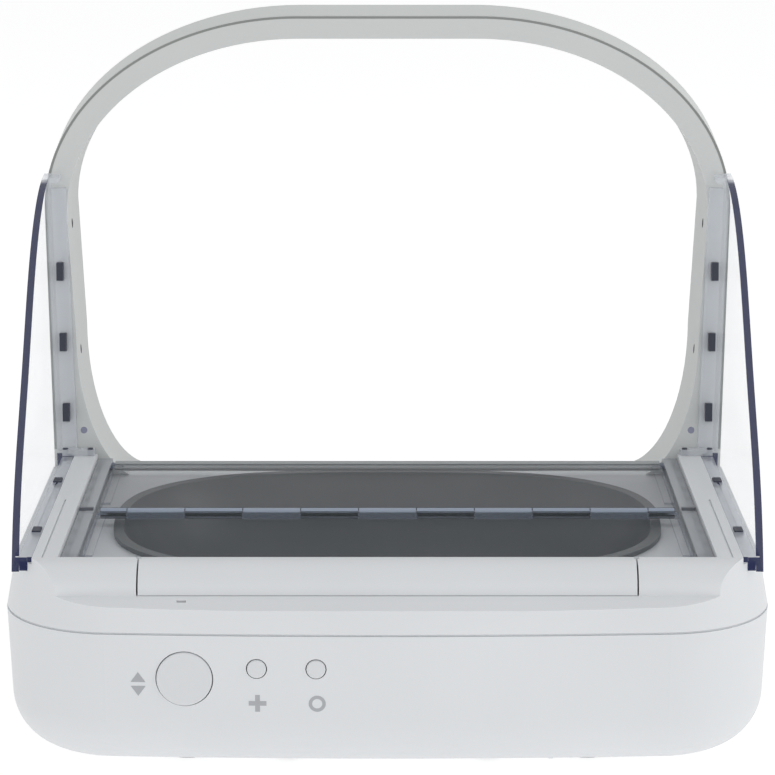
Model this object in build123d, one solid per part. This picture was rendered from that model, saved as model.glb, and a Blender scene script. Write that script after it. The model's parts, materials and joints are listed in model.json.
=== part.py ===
"""Microchip pet feeder: a bowl under a folding clear lid, with an antenna arch on the feeding side.

Millimetres. +Z is up, -Y is the control side and +Y is the feeding side. While a piece is drawn, Y is
counted from the rear face of the housing; save() moves it so that the feeder is centred on the origin.
"""
import os
from math import atan, atan2, cos, hypot, pi, radians, sin, sqrt, tan

from build123d import *

os.makedirs("parts", exist_ok=True)

# overall form
overallDepth = 304.0
halfWidth = 115.0           # at the seam between the two housing shells
deckHalfWidth = halfWidth - 3.7
housingDepth = 205.0
archNear = housingDepth - 60.0      # near edge of the arch, at the height of its foot
wall = 2.4
fitGap = 0.15               # between fixed pieces that seat in one another
showGap = 0.3               # between pieces that are seen side by side
footHeight = 1.5
seamHeight = 44.3
seamGroove = 0.7            # shadow line round the foot of the upper housing
deckHeight = 63.5
cornerRadius = 34.0
rearBow = 1450.0            # radius of the slightly bowed rear face
frontRadius = 52.0
bottomFillet = 17.0
sideDraft = 2.4             # degrees, the lower shell narrows downward

# rear step and ledge, as (distance from the rear face, height)
bandTop = (0.6, deckHeight - 11.5)
crease = (7.7, deckHeight - 9.0)
stepMiddle = (9.9, deckHeight - 2.9)
deckEdge = (17.3, deckHeight)
coverHalfWidth = halfWidth - 41.8
coverGap = 0.5

# hinge lines of the folding lid
hingeRear = 20.4
hingeHeight = deckHeight - 3.9
panelSpan = (archNear - 3.0 - hingeRear) / 2    # from hinge to hinge, the same on both panels

# bowl and its recess
bowlMiddle = hingeRear + panelSpan + 3.3
bowlHalfWidth = halfWidth - 31.8    # inside
bowlHalfDepth = panelSpan - 2.8     # inside
bowlPower = 2.7
bowlWall = 1.4
bowlDepth = 31.0
bowlFlange = 3.2            # width of the rim that rests on the recess floor
flangeThickness = 1.5
recessRear = 17.6
recessFront = archNear + 3.2
recessHalfWidth = halfWidth - 17.5
recessFloor = deckHeight - 7.7
recessPlate = 2.0
recessWall = 1.1

# folding lid
panelThickness = 2.2
panelHalfWidth = recessHalfWidth - 6.1
hingeMargin = 3.2           # from a hinge line to the edge of the panel beside it
shaftRadius = 1.5
shaftKnuckle = 2.4
shaftKnuckleLength = 6.0
rodRadius = 0.9
rodKnuckle = 1.7
knucklePitch = (panelHalfWidth + 0.1) / 5
barRadius = 1.1
barSeat = 1.7
runGap = 0.05               # radial clearance of everything that turns
pinGap = 0.02               # round a pin that is held fast
lipLength = 2.5
lipThickness = 1.4
lipHalfWidth = panelHalfWidth - 13.4
marginWidth = 3.2           # raised margins that stiffen the panels along their sides
marginHeight = 0.8
trackInner = panelHalfWidth + 1.0
trackOuter = recessHalfWidth - showGap
trackTop = deckHeight - 1.7
trackFront = archNear - 1.4
slotClearance = 0.25
slotDepth = 3.0
stopNear = hingeRear + panelSpan - 5.0
stopFar = stopNear + 1.4
deckLine = (recessHalfWidth + 4.2, recessHalfWidth + 4.8)

# arch, counted on its own leaning plane
archFoot = deckHeight
archLean = 6.5              # degrees toward the feeding side
archDepth = 38.0
archFlare = 2.0
archBand = 7.4
archWall = 2.0
archFlatHalf = 30.0
archShoulder = 146.0
archRise = 63.5
shoulderShare = 0.3         # share of an inset that lowers the shoulder line
riseShare = 0.72            # share of an inset that the curve above it loses
legToeIn = 2.6              # how far each leg leans in from shoulder to foot
archHalfWidth = halfWidth - 0.5
archSillNear = deckHeight - 8.5
archSillFar = deckHeight - 13.0
archSillBand = 5.2          # thickness of the ring across the sill
archSillCorner = (22.0, 49.5)   # half axes of the elliptical inner corners
archOuterCorner = (3.0, 3.0)
archSeam = 0.5              # visible line between the near plate and the outer shell
coilStart, coilEnd = 8.0, 30.0
coilInset = 0.7
windowRadius = 1.6
windowAt = ((138.0, 14.0), (95.5, 14.0))    # height, distance behind the near face
footLensRadius = 1.1
footLens = (archHalfWidth - 12.3, archFoot + 7.5)

# shields
shieldFootX = deckHalfWidth - 0.2   # outer face at the deck
shieldFootHeight = deckHeight - 4.2
shieldLean = 1.9            # degrees
shieldThickness = 2.2
shieldRear = 16.4
shieldLip = 7.0             # width of the strip that lies against the arch
shieldLipTop = 152.0
shieldTop = (archNear + 9.4, 157.0)
# share of the depth from the heel to the arch, and height
shieldEdge = ((0.119, 78.9), (0.374, 106.8), (0.6353, 134.7), (0.7776, 146.2))
shieldFlange = 5.9          # width of the strip let into the deck
shieldFlangeHeights = (deckHeight - 1.7, deckHeight - 0.1)
shieldFlangeRear, shieldFlangeFront = 18.0, archNear - 2.0
shieldHeel = 4.5            # width of the closed rear end of the foot
shieldHeelEnd = 19.0
# inner end, rear, front and top of the bar at the arch foot
shieldBar = (shieldFootX - 12.9, archNear - 5.2, archNear - 2.1, deckHeight + 2.1)
clipHeights = (124.5, 101.0, 77.5)
clipHalf = (1.1, 3.0)
flangeClipAt = (48.0, 108.0)
flangeClip = (2.6, 5.0, 1.0)
barPinRadius = 0.9

# drive
gearModule = 0.8
gearTeeth = 12
gearWidth = 2.2
gearBacklash = 0.12
gearInner = recessHalfWidth + 1.4
meshAngle = 60.0            # the line of centres below the horizontal
crossShaftRadius = 1.25
gearboxOuter = gearInner - 16.9
gearboxInner = gearboxOuter - 16.0
gearboxRear, gearboxFront = 12.0, 30.6
gearboxBottom, gearboxTop = 34.0, 52.0
motorRadius = 7.6
motorFlat = 6.2
motorLength = 26.0
motorY, motorZ = 17.5, 42.4

# controls
buttonHeight = 31.0
buttonX = -59.5
buttonRadius = 8.2
smallButtonHeight = 34.3
smallButtonX = (-38.3, -20.9)
smallButtonRadius = 2.8
buttonGap = 0.3
buttonProud = 0.5
buttonTravel = 1.0
collarRear = 3.8            # the collar behind a button keeps it in its hole
collarThickness = 1.0
collarWidth = 1.2
stemRadius = 1.6
boardRear = 9.0
boardThickness = 1.6
boardHeights = (16.0, 41.0)
boardHalfLength = 36.0
boardX = -46.0
statusX = -60.3
slotY = 5.2

# batteries
cellRadius = 13.1
cellLength = 50.0
cellX = halfWidth - 27.0
cellHeight = 17.8
bayRear = 33.0
springLength = 7.0
doorThickness = 2.0
hingePin = 1.2

# front tray and mat
trayHalfWidth = 104.0
trayRear = housingDepth - 37.0
trayThickness = 2.4
trayRim = 6.0
matThickness = 2.2

# feet, bosses and screws
frontFoot = (halfWidth - 23.0, housingDepth - 47.0)
feetAt = ((-60, 27), (60, 27), (-frontFoot[0], frontFoot[1]), frontFoot)
footRadius = 7.0
frontBoss = (halfWidth - 49.0, housingDepth - 45.0)
bossAt = ((-30, 20.5), (30, 20.5), (-frontBoss[0], frontBoss[1]), frontBoss)
bossRadius = 4.0
bossTop = 32.0
screwRadius = 1.4
headRadius = 2.7


def save(name, shape):
    """Centre a piece on the origin and write it under its own name."""
    solids = [Pos(0, -overallDepth / 2, 0) * solid for solid in shape.solids()]
    export_step(solids[0] if len(solids) == 1 else Compound(solids), f"parts/{name}.step")


def group(*solids):
    return Compound(children=[solid for item in solids for solid in item.solids()])


def box(x0, x1, y0, y1, z0, z1):
    return Pos((x0 + x1) / 2, (y0 + y1) / 2, (z0 + z1) / 2) * Box(abs(x1 - x0), abs(y1 - y0), abs(z1 - z0))


def rodX(x0, x1, y, z, radius):
    return Pos((x0 + x1) / 2, y, z) * Rot(0, 90, 0) * Cylinder(radius, abs(x1 - x0))


def rodY(x, y0, y1, z, radius):
    return Pos(x, (y0 + y1) / 2, z) * Rot(90, 0, 0) * Cylinder(radius, abs(y1 - y0))


def rodZ(x, y, z0, z1, radius):
    return Pos(x, y, (z0 + z1) / 2) * Cylinder(radius, abs(z1 - z0))


def both(shape):
    return shape + mirror(shape, Plane.YZ)


# ---- housing outlines ----
def planOutline(z, side=halfWidth, inset=0.0, front=housingDepth):
    """Plan of the housing at a height: slightly bowed rear, round corners, rounder front."""
    centreX = side - cornerRadius
    centreY = rearBow - sqrt((rearBow - cornerRadius) ** 2 - centreX ** 2)
    reach = hypot(centreX, centreY - rearBow)
    radius = cornerRadius - inset
    start = (centreX + radius * centreX / reach, centreY + radius * (centreY - rearBow) / reach)
    half = atan2(start[0] - centreX, centreY - start[1])
    middleAngle = (half + pi / 2) / 2
    middle = (centreX + radius * sin(middleAngle), centreY - radius * cos(middleAngle))
    side = side - inset
    end = front - inset
    nose = frontRadius - inset
    noseMiddle = (side - nose * (1 - cos(pi / 4)), end - nose * (1 - cos(pi / 4)))
    with BuildLine() as line:
        ThreePointArc((-start[0], start[1]), (0, inset), start)
        ThreePointArc(start, middle, (side, centreY))
        Line((side, centreY), (side, end - nose))
        ThreePointArc((side, end - nose), noseMiddle, (side - nose, end))
        Line((side - nose, end), (-side + nose, end))
        ThreePointArc((-side + nose, end), (-noseMiddle[0], noseMiddle[1]), (-side, end - nose))
        Line((-side, end - nose), (-side, centreY))
        ThreePointArc((-side, centreY), (-middle[0], middle[1]), (-start[0], start[1]))
    return Pos(0, 0, z) * make_face(line.line.edges())


def wallFace(x, z):
    """Distance of the outer rear wall of the lower shell from the rear face."""
    return x * x / (2 * rearBow) + (seamHeight - z) * tan(radians(sideDraft))


def lowerSolid(inset, bottom, filletRadius):
    solid = extrude(planOutline(seamHeight, inset=inset), amount=-(seamHeight - bottom), taper=sideDraft)
    edges = solid.edges().filter_by(lambda edge: abs(edge.center().Z - bottom) < 0.01)
    return fillet(edges, filletRadius)


def upperProfile(inset):
    """Side view of the upper housing: band, ledge, convex step, deck, sill and front slope."""
    nearSill = archNear - (archFoot - archSillNear) * tan(radians(archLean)) - 1.0
    below = 5.0 if inset else 0.0
    ledgeTop = (crease[0] + inset, crease[1] - inset)
    deckStart = (deckEdge[0] + inset * 0.4, deckHeight - inset)
    with BuildLine() as line:
        Polyline((inset, seamHeight - below), (bandTop[0] + inset, bandTop[1] - inset), ledgeTop)
        ThreePointArc(ledgeTop, (stepMiddle[0] + inset * 0.8, stepMiddle[1] - inset * 0.6), deckStart)
        Polyline(
            deckStart,
            (nearSill - inset, deckHeight - inset),
            (nearSill - inset, archSillNear - archSillBand - fitGap - inset),
            (nearSill + archDepth + 3, archSillFar - archSillBand - fitGap - 0.3 - inset),
            (housingDepth + 2, seamHeight + 0.3 if not inset else seamHeight - 1.5),
            (housingDepth + 2, seamHeight - below),
            (inset, seamHeight - below),
        )
    return Plane.YZ * make_face(line.line.edges())


def upperSolid(inset):
    start = seamHeight - (5 if inset else 0)
    plan = loft([planOutline(start, inset=inset), planOutline(deckHeight + 1, side=deckHalfWidth,
                                                              inset=inset)], ruled=True)
    return plan & extrude(upperProfile(inset), amount=halfWidth + 5, both=True)


# ---- bowl outlines ----
def ovalFace(z, a, b, middle=bowlMiddle):
    """Superellipse drawn as one closed spline."""
    count = 28
    points = []
    for step in range(count):
        angle = 2 * pi * step / count
        c, s = cos(angle), sin(angle)
        x = a * (abs(c) ** (2 / bowlPower)) * (1 if c >= 0 else -1)
        y = b * (abs(s) ** (2 / bowlPower)) * (1 if s >= 0 else -1)
        points.append((x, middle + y))
    return Pos(0, 0, z) * make_face(Spline(*points, periodic=True).edges())


bowlTop = recessFloor + fitGap / 2 + flangeThickness


def makeBowl():
    """Oval bowl with a narrow rim; each section is (share of the depth, how far it draws in)."""
    outer, inner = [], []
    for share, shrink in ((0.0, 0.0), (0.35, 0.07), (0.7, 0.2), (0.9, 0.31), (1.0, 0.45)):
        z = bowlTop - share * bowlDepth
        a = bowlHalfWidth * (1 - shrink * 0.8)
        b = bowlHalfDepth * (1 - shrink)
        inner.append(ovalFace(z, a, b))
        outer.append(ovalFace(z - (bowlWall if share == 1 else 0), a + bowlWall, b + bowlWall))
    rim = ovalFace(bowlTop - flangeThickness, bowlHalfWidth + bowlFlange, bowlHalfDepth + bowlFlange)
    hollow = loft(inner) + extrude(ovalFace(bowlTop, bowlHalfWidth, bowlHalfDepth), amount=3)
    return loft(outer) + extrude(rim, amount=flangeThickness) - hollow


# ---- lower housing ----
outerLower = lowerSolid(0, footHeight, bottomFillet)
innerLower = lowerSolid(wall, footHeight + wall, bottomFillet - wall)
lower = outerLower - innerLower

bayLength = 2 * cellLength + springLength + 4
bayFront = bayRear + bayLength
bayHalf = cellRadius + 0.6
bayTop = cellHeight + cellRadius + 1.2
for side in (-1, 1):
    x = side * cellX
    bay = box(x - bayHalf - 1.6, x + bayHalf + 1.6, bayRear - 1.6, bayFront + 1.6, footHeight + 0.4,
              bayTop + 1.6)
    lower = lower + (bay & outerLower)
for side in (-1, 1):
    x = side * cellX
    lower = lower - (box(x - bayHalf, x + bayHalf, bayRear, bayFront, -1, bayTop) & outerLower)

# button holes, switch window and tongue slots in the lower shell
controls = [(buttonX, buttonHeight, buttonRadius)]
for x in smallButtonX:
    controls.append((x, smallButtonHeight, smallButtonRadius))
for x, z, radius in controls:
    lower = lower - rodY(x, -2, 6, z, radius + buttonGap)

# bosses that take the screws from below, and posts for the board
for x, y in bossAt:
    lower = lower + rodZ(x, y, footHeight + 1, bossTop, bossRadius)
    lower = lower - rodZ(x, y, -1, footHeight + 4, bossRadius - 0.9) - rodZ(x, y, -1, bossTop + 1,
                                                                            screwRadius + 0.15)
boardPosts = []
for x in (boardX - boardHalfLength + 4, boardX + boardHalfLength - 4):
    for z in (boardHeights[0] + 4, boardHeights[1] - 4):
        boardPosts.append((x, z))
for x, z in boardPosts:
    lower = lower + (rodY(x, 1, boardRear - 0.02, z, 2.2) & outerLower)
    lower = lower - rodY(x, wallFace(x, z) + 1.6, boardRear + 1, z, 0.8)

# stiffening ribs across the floor under the bowl
for x in (-36, 0, 36):
    lower = lower + box(x - 0.8, x + 0.8, 44, 134, footHeight + 1, 12)
for y in (62, 116):
    lower = lower + box(-68, 68, y - 0.8, y + 0.8, footHeight + 1, 12)

# pockets for the rubber feet
for x, y in feetAt:
    lower = lower - rodZ(x, y, -1, footHeight + 0.8, footRadius + 0.1)

# slots for the tongues of the front tray
tongueX = (-48, 48)
tongueHalf = 9.0
tongueHeights = (22.0, 24.4)
for x in tongueX:
    lower = lower - box(x - tongueHalf - fitGap, x + tongueHalf + fitGap, housingDepth - 8, housingDepth + 2,
                        tongueHeights[0] - fitGap, tongueHeights[1] + fitGap)

# hinge bores and latch notches of the battery doors
doorPinHeight = footHeight + hingePin
for side in (-1, 1):
    hingeX = side * (cellX - bayHalf + hingePin + showGap)
    lower = lower - rodY(hingeX, bayRear - 1.2, bayFront + 1.2, doorPinHeight, hingePin / 2 + runGap)

# ---- upper housing ----
upper = upperSolid(0) - upperSolid(wall)
underArch = extrude(planOutline(seamHeight - 2.2, inset=wall + showGap), amount=2.2)
upper = upper + (underArch & box(-halfWidth, halfWidth, archNear - 8, housingDepth, 0, 60))
recessBlock = box(-recessHalfWidth - recessWall, recessHalfWidth + recessWall, recessRear - 1.4, recessFront,
                  recessFloor - recessPlate, deckHeight)
upper = upper + (recessBlock & upperSolid(0))
recessApron = box(-recessHalfWidth - recessWall, recessHalfWidth + recessWall, archNear - 12,
                  recessFront + recessWall,
                  recessFloor - recessPlate, recessFloor)
upper = upper + recessApron
# stepped seat of the shields: a deep groove at the side, a shallow one for the flange, open to the rear
seatInner = shieldFootX - shieldFlange - fitGap
grooveInner = shieldFootX - shieldThickness - fitGap
heelInner = shieldFootX - shieldHeel - fitGap
seatFloor = shieldFlangeHeights[0] - fitGap
grooveFloor = shieldFootHeight - fitGap
seatRear, seatFront = 5.0, archNear - 0.4
flangeRib = box(seatInner - 1.2, shieldFootX + 2, deckEdge[0] - 1, archNear - 2, seatFloor - 2.2, deckHeight)
grooveRib = box(heelInner - 1.2, shieldFootX + 2, deckEdge[0] - 5, archNear - 2, grooveFloor - 2.2,
                deckHeight)
upper = upper + ((both(flangeRib) + both(grooveRib)) & upperSolid(0))
upper = upper - box(-recessHalfWidth, recessHalfWidth, recessRear, recessFront, recessFloor, deckHeight + 5)
bowlHole = extrude(ovalFace(20, bowlHalfWidth + bowlWall + 0.4, bowlHalfDepth + bowlWall + 0.4), amount=60)
upper = upper - bowlHole
upper = upper - both(box(grooveInner, halfWidth + 5, seatRear, seatFront, grooveFloor, deckHeight + 1))
upper = upper - both(box(seatInner, halfWidth + 5, seatRear, seatFront, seatFloor, deckHeight + 1))
upper = upper - both(box(heelInner, halfWidth + 5, seatRear, shieldHeelEnd + fitGap, grooveFloor,
                         deckHeight + 1))

# shadow line round the foot of the upper housing
grooveRing = extrude(planOutline(seamHeight - 1), amount=seamGroove + 1)
grooveRing = grooveRing - extrude(planOutline(seamHeight - 1, inset=seamGroove), amount=seamGroove + 1)
upper = upper - (grooveRing & box(-halfWidth - 5, halfWidth + 5, -1, archNear + 5, 0, deckHeight))

# fine line along each deck strip
upper = upper - both(box(*deckLine, deckEdge[0] - 0.3, stopNear + 7.8, deckHeight - 0.6, deckHeight + 1))

# bearing holes of the lid shaft and cross shaft, and the space in which the lid gear swings
shaftReach = gearInner + gearWidth + 0.2
gearSpace = 0.4
meshY = hingeRear + gearModule * gearTeeth * cos(radians(meshAngle))
meshZ = hingeHeight - gearModule * gearTeeth * sin(radians(meshAngle))
gearRadius = gearModule * gearTeeth / 2
for side in (-1, 1):
    upper = upper - rodX(side * (recessHalfWidth - 1), side * (shaftReach + gearSpace), hingeRear,
                         hingeHeight, shaftRadius + runGap)
roomRadius = gearRadius + gearModule + gearSpace
gearRoom = rodX(gearInner - showGap, gearInner + gearWidth + gearSpace, hingeRear, hingeHeight, roomRadius)
upper = upper - (gearRoom & box(gearInner - 5, gearInner + 10, 0, 40, 40, hingeHeight + 2.6))
upper = upper - rodX(gearInner - showGap, gearInner + gearWidth + gearSpace, meshY, meshZ, roomRadius)

# centre cover, cut from the same step
coverRegion = box(-coverHalfWidth, coverHalfWidth, -2, deckEdge[0] - 1.4, crease[1] + 0.15, deckHeight + 1)
coverCut = box(-coverHalfWidth - coverGap, coverHalfWidth + coverGap, -2, deckEdge[0] - 1.4 + 0.2,
               crease[1], deckHeight + 1)
cover = (upperSolid(0) - upperSolid(2.0)) & coverRegion
upper = upper - (coverCut & (upperSolid(0) - upperSolid(wall + 0.6)))
for side in (-1, 1):
    x = side * (coverHalfWidth - 10)
    cover = cover + box(x - 3, x + 3, deckEdge[0] - 3.4, deckEdge[0] - 1.4, deckHeight - 6.0,
                        deckHeight - 1.6)
    notchX = side * (coverHalfWidth + coverGap / 2)
    upper = upper - box(notchX - 0.8, notchX + 0.8, deckEdge[0] - 1.5, deckEdge[0] + 0.1,
                        deckHeight - 1.5, deckHeight + 1)

# light slot on the ledge
lightSlot = box(statusX - 1.4, statusX + 1.4, slotY - 0.55, slotY + 0.55, seamHeight - 0.3,
                deckHeight - 5.5)
upper = upper - lightSlot

# bosses that meet those of the lower shell
def bossRoof(y):
    return recessFloor - 1.0 if y < archNear else seamHeight - 0.5


for x, y in bossAt:
    upper = upper + rodZ(x, y, bossTop + 0.02, bossRoof(y), bossRadius)
    upper = upper - rodZ(x, y, bossTop - 1, min(bossRoof(y) - 1.2, bossTop + 12), screwRadius)

save("centre_cover", cover)
save("bowl", makeBowl())


# ---- arch ----
def archPlane(distance):
    lean = radians(archLean)
    return Plane(origin=(0, archNear + distance, archFoot), x_dir=(1, 0, 0), z_dir=(0, -cos(lean), sin(lean)))


def archFace(distance, inset, corner):
    """Closed outline of the arch on its leaning plane, a given distance back and a given inset in."""
    share = distance / archDepth
    side = archHalfWidth - inset + archFlare * share * (1 - inset / archBand)
    shoulder = archShoulder - inset * shoulderShare - archFoot
    rise = archRise - inset * riseShare
    sill = archSillNear + (archSillFar - archSillNear) * share - archFoot
    bottom = sill - archSillBand * (1 - inset / archBand)
    foot = side - legToeIn
    wide, high = corner
    with BuildLine() as line:
        Line((-archFlatHalf, shoulder + rise), (archFlatHalf, shoulder + rise))
        EllipticalCenterArc((archFlatHalf, shoulder), side - archFlatHalf, rise, 0, arc_size=90)
        Line((side, shoulder), (foot, bottom + high))
        EllipticalCenterArc((foot - wide, bottom + high), wide, high, 270, arc_size=90)
        Line((foot - wide, bottom), (-foot + wide, bottom))
        EllipticalCenterArc((-foot + wide, bottom + high), wide, high, 180, arc_size=90)
        Line((-foot, bottom + high), (-side, shoulder))
        EllipticalCenterArc((-archFlatHalf, shoulder), side - archFlatHalf, rise, 90, arc_size=90)
    return archPlane(distance) * make_face(line.line.edges())


def archBlock(start, end, inset, corner):
    return loft([archFace(start, inset, corner), archFace(end, inset, corner)], ruled=True)


outerCorner = archOuterCorner
innerCorner = archSillCorner
tunnelWall = archBand - archWall
archInner = archBlock(0, archWall, 0, outerCorner) + archBlock(0, archDepth, tunnelWall, innerCorner)
archInner = archInner - archBlock(-1, archDepth + 1, archBand, innerCorner)
archOuter = archBlock(archWall + archSeam, archDepth, 0, outerCorner)
archOuter = archOuter - archBlock(archWall, archDepth - archWall, archWall, outerCorner)
archOuter = archOuter - archBlock(archWall, archDepth + 1, tunnelWall - fitGap, innerCorner)
coil = archBlock(coilStart, coilEnd, archWall + coilInset, innerCorner)
coil = coil - archBlock(coilStart - 1, coilEnd + 1, tunnelWall - coilInset, innerCorner)

# small dark windows on the tunnel walls and at the foot of the near face, flush in their holes
windows = []
wallBand = archBlock(0.5, archDepth - 0.5, tunnelWall, innerCorner)
wallBand = wallBand - archBlock(0, archDepth, archBand - 0.02, innerCorner)
nearPlate = archBlock(0.02, archWall - fitGap, 1, outerCorner)
for side in (-1, 1):
    for z, deep in windowAt:
        y = archNear + deep + (z - archFoot) * tan(radians(archLean))
        inward, outward = side * (archHalfWidth - 16.5), side * (archHalfWidth - archWall - 2.0)
        archInner = archInner - rodX(inward, outward, y, z, windowRadius + runGap)
        windows.append(rodX(inward, outward, y, z, windowRadius) & wallBand)
        coil = coil - rodX(inward, side * (archHalfWidth + 3.5), y, z, windowRadius + 0.6)
    x, z = side * footLens[0], footLens[1]
    archInner = archInner - rodY(x, archNear - 5, archNear + archWall + 3, z, footLensRadius + runGap)
    windows.append(rodY(x, archNear - 5, archNear + archWall + 3, z, footLensRadius) & nearPlate)

recessClear = recessWall + showGap
archInner = archInner - box(-recessHalfWidth - recessClear, recessHalfWidth + recessClear, archNear - 15,
                            recessFront + recessClear, 40, recessFloor + showGap)
save("arch_outer", archOuter)
save("antenna_coil", coil)
save("sensor_windows", group(*windows))


# ---- shields ----
def shieldOutline():
    """Side view of a shield: long convex free edge, top corner at the arch, foot in the deck groove."""
    top = shieldTop
    foot = (archNear - 1.4, shieldFootHeight)
    heel = (shieldRear, shieldFootHeight)
    edge = [(shieldRear + share * (archNear - shieldRear), z) for share, z in shieldEdge]
    with BuildLine() as line:
        Spline(heel, *edge, top)
        Polyline(top, foot, heel)
    return make_face(line.line.edges())


def makeShield():
    """Right shield: a leaning clear panel with strips along the arch and the deck, a heel and a foot bar."""
    panel = extrude(Plane.YZ * shieldOutline(), amount=-shieldThickness)
    lean = tan(radians(archLean))
    nearTop = archNear - showGap + (shieldLipTop - archFoot) * lean
    nearFoot = archNear - showGap + (deckHeight + 0.8 - archFoot) * lean
    strip = Polyline((nearTop, shieldLipTop), (nearFoot, deckHeight + 0.8), (nearFoot - 2, deckHeight + 0.8),
                     (nearTop - 2, shieldLipTop), close=True)
    lip = extrude(Plane.YZ * make_face(strip.edges()), amount=-shieldLip)
    tab = box(-5.5, 0, shieldTop[0] - 8.4, shieldTop[0] - 0.2, shieldTop[1] - 2.2, shieldTop[1] - 0.4)
    shape = panel + lip + tab
    shape = Pos(shieldFootX, 0, shieldFootHeight) * Rot(0, shieldLean, 0) * Pos(0, 0,
                                                                                -shieldFootHeight) * shape
    low, high = shieldFlangeHeights
    outside = shieldFootX - 1.0
    shape = shape + box(shieldFootX - shieldFlange, outside, shieldFlangeRear, shieldFlangeFront, low, high)
    shape = shape + box(shieldFootX - shieldHeel, outside, shieldRear + 1.2, shieldHeelEnd,
                        shieldFootHeight, high)
    inner, rear, front, top = shieldBar
    shape = shape + box(inner, outside, rear, front, deckHeight + fitGap, top)
    shape = shape + box(shieldFootX - shieldFlange + 0.5, outside, rear, front, low, top)
    return shape


rightShield = makeShield()
clips = []
for z in clipHeights:
    y = archNear + (z - archFoot) * tan(radians(archLean))
    x = shieldFootX - 3.9 + (z - shieldFootHeight) * tan(radians(shieldLean))
    place = Pos(x, y - 1.4, z) * Rot(-archLean, 0, 0)
    hole = place * Box(2 * clipHalf[0] + 0.2, 4.8, 2 * clipHalf[1] + 0.2)
    rightShield = rightShield - hole
    archInner = archInner - both(hole)
    clips.append(place * Box(2 * clipHalf[0], 4.4, 2 * clipHalf[1]))
# clips pressed into the flange, joined by a fine groove, and a pin at each end of the foot bar
clipX = shieldFootX - shieldFlange + 1.9
flangeTop = shieldFlangeHeights[1]
wide, long, deep = flangeClip
for y in flangeClipAt:
    rightShield = rightShield - box(clipX - wide / 2 - 0.1, clipX + wide / 2 + 0.1, y - long / 2 - 0.1,
                                    y + long / 2 + 0.1,
                                    flangeTop - deep, flangeTop + 1)
    clips.append(box(clipX - wide / 2, clipX + wide / 2, y - long / 2, y + long / 2,
                     flangeTop - deep + 0.05, flangeTop + 0.4))
rightShield = rightShield - box(clipX - 0.3, clipX + 0.3, flangeClipAt[0], flangeClipAt[1],
                                flangeTop - 0.6, flangeTop + 1)
pinY = (shieldBar[1] + shieldBar[2]) / 2
for x in (shieldBar[0] + 1.5, shieldFootX - 3.0):
    bottom = seatFloor + 0.3 if x > seatInner else deckHeight - 1.2
    rightShield = rightShield - rodZ(x, pinY, bottom - 1, shieldBar[3] + 1, barPinRadius + runGap)
    upper = upper - both(rodZ(x, pinY, bottom - 0.1, shieldBar[3] + 1, barPinRadius + runGap))
    clips.append(rodZ(x, pinY, bottom, shieldBar[3] + 0.3, barPinRadius))
save("arch_inner", archInner)
save("right_shield", rightShield)
save("left_shield", mirror(rightShield, Plane.YZ))
save("shield_clips", group(*[item for clip in clips for item in (clip, mirror(clip, Plane.YZ))]))

# ---- folding lid ----
midY = hingeRear + panelSpan
barY = hingeRear + 2 * panelSpan
panelUnder = hingeHeight - panelThickness / 2
panelTop = panelUnder + panelThickness
rearPanel = box(-panelHalfWidth, panelHalfWidth, hingeRear + hingeMargin, midY - hingeMargin, panelUnder,
                panelTop)
frontPanel = box(-panelHalfWidth, panelHalfWidth, midY + hingeMargin, barY - barRadius, panelUnder, panelTop)


def knuckle(x0, x1, y, inward, radius):
    """A barrel on a hinge line with the web that ties it to the panel on its inward side."""
    web = box(x0, x1, y, y + inward * (hingeMargin + 1.0), panelUnder, panelTop)
    return rodX(x0, x1, y, hingeHeight, radius) + web


# middle hinge: barrels of the two panels take turns along the whole width
rodHalf = panelHalfWidth - 0.7
for index in range(-5, 6):
    low = max(index * knucklePitch - (knucklePitch - showGap) / 2, -rodHalf)
    high = min(index * knucklePitch + (knucklePitch - showGap) / 2, rodHalf)
    if index % 2:
        rearPanel = rearPanel + knuckle(low, high, midY, -1, rodKnuckle)
    else:
        frontPanel = frontPanel + knuckle(low, high, midY, 1, rodKnuckle)
for low in (panelHalfWidth - 6.8, panelHalfWidth - 35.4, 22.0):
    rearPanel = rearPanel + both(knuckle(low, low + shaftKnuckleLength, hingeRear, 1, shaftKnuckle))
frontPanel = frontPanel + rodX(-panelHalfWidth, panelHalfWidth, barY, hingeHeight, barSeat)
frontPanel = frontPanel + box(-lipHalfWidth, lipHalfWidth, barY, barY + lipLength,
                              panelTop - lipThickness, panelTop)
marginInner = panelHalfWidth - marginWidth
rearPanel = rearPanel + both(box(marginInner, panelHalfWidth, hingeRear + 6, midY - 6, panelTop - 0.2,
                                 panelTop + marginHeight))
frontPanel = frontPanel + both(box(marginInner, panelHalfWidth, midY + 6, barY - 6, panelTop - 0.2,
                                   panelTop + marginHeight))
boreReach = panelHalfWidth + 5
rearPanel = rearPanel - rodX(-boreReach, boreReach, hingeRear, hingeHeight, shaftRadius + pinGap)
rearPanel = rearPanel - rodX(-boreReach, boreReach, midY, hingeHeight, rodRadius + pinGap)
frontPanel = frontPanel - rodX(-boreReach, boreReach, midY, hingeHeight, rodRadius + runGap)
frontPanel = frontPanel - rodX(-boreReach, boreReach, barY, hingeHeight, barRadius + pinGap)
barHalf = trackInner + slotDepth - 0.6
lidShaft = rodX(-shaftReach, shaftReach, hingeRear, hingeHeight, shaftRadius)
midRod = rodX(-rodHalf + 0.1, rodHalf - 0.1, midY, hingeHeight, rodRadius)
farBar = rodX(-barHalf, barHalf, barY, hingeHeight, barRadius)
save("lid_rear_panel", rearPanel)
save("lid_front_panel", frontPanel)
save("lid_shaft", lidShaft)
save("lid_mid_rod", midRod)
save("lid_far_bar", farBar)

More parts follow.
